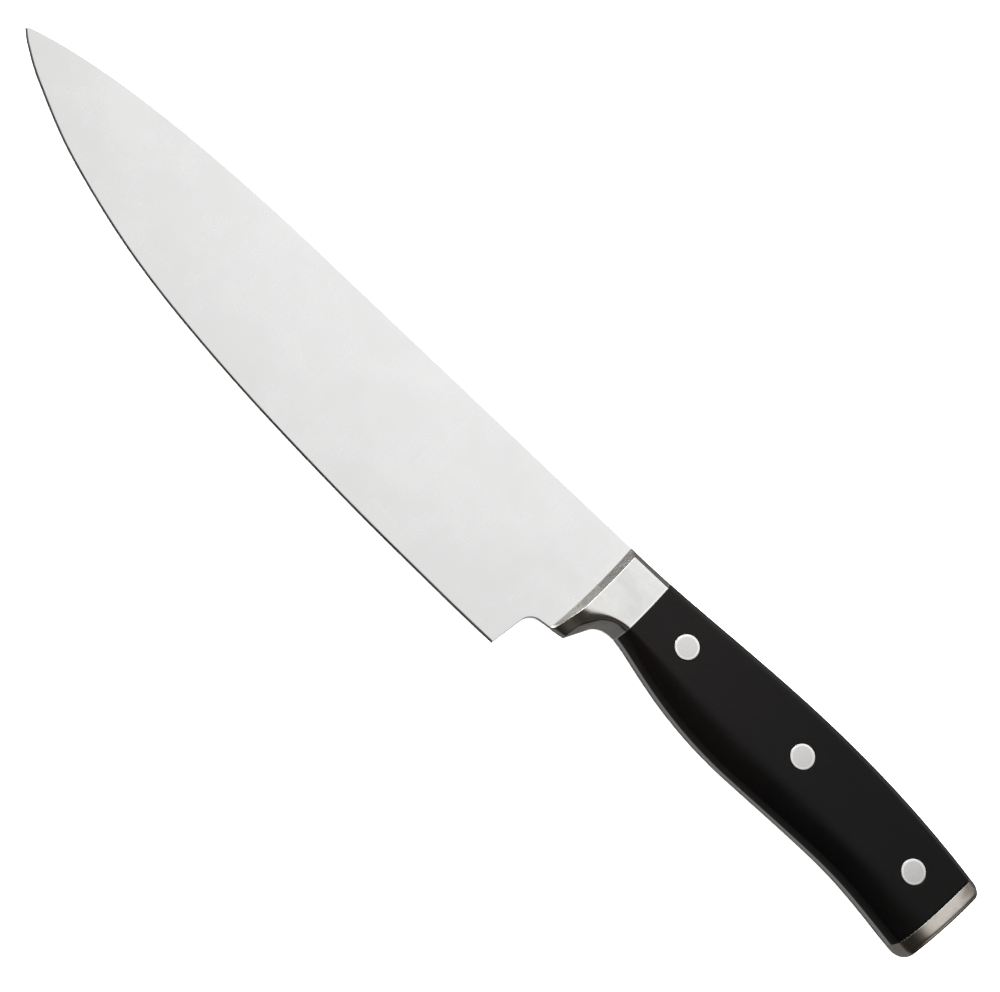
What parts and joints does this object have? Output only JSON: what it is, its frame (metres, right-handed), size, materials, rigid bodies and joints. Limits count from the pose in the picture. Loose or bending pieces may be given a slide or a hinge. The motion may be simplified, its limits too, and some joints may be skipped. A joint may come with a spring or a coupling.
{
  "type": "chef's knife",
  "caption": "Forged chef's knife with a curved tapering blade, raised bolster, full tang, riveted black handle scales and a steel end cap.",
  "frame": {"origin": "centre of the base of the knife's box: the knife lies on its side on the plane z = 0", "axes": "-X towards the tip, +X towards the butt, +Y towards the spine, +Z out of the side that faces up"},
  "size_m": [0.3282, 0.0456, 0.0156],
  "materials": {
    "forged_steel": "fine satin, brushed across the blade",
    "rivet_steel": "polished",
    "cap_steel": "satin",
    "handle_plastic": "smooth, semi-matt"
  },
  "bodies": {
    "root": {"blade_forging": "forged_steel", "scale_upper": "handle_plastic", "scale_lower": "handle_plastic", "rivet_barrel_1": "rivet_steel", "rivet_stem_1": "rivet_steel", "rivet_barrel_2": "rivet_steel", "rivet_stem_2": "rivet_steel", "rivet_barrel_3": "rivet_steel", "rivet_stem_3": "rivet_steel", "end_cap": "cap_steel"}
  },
  "joints": []
}
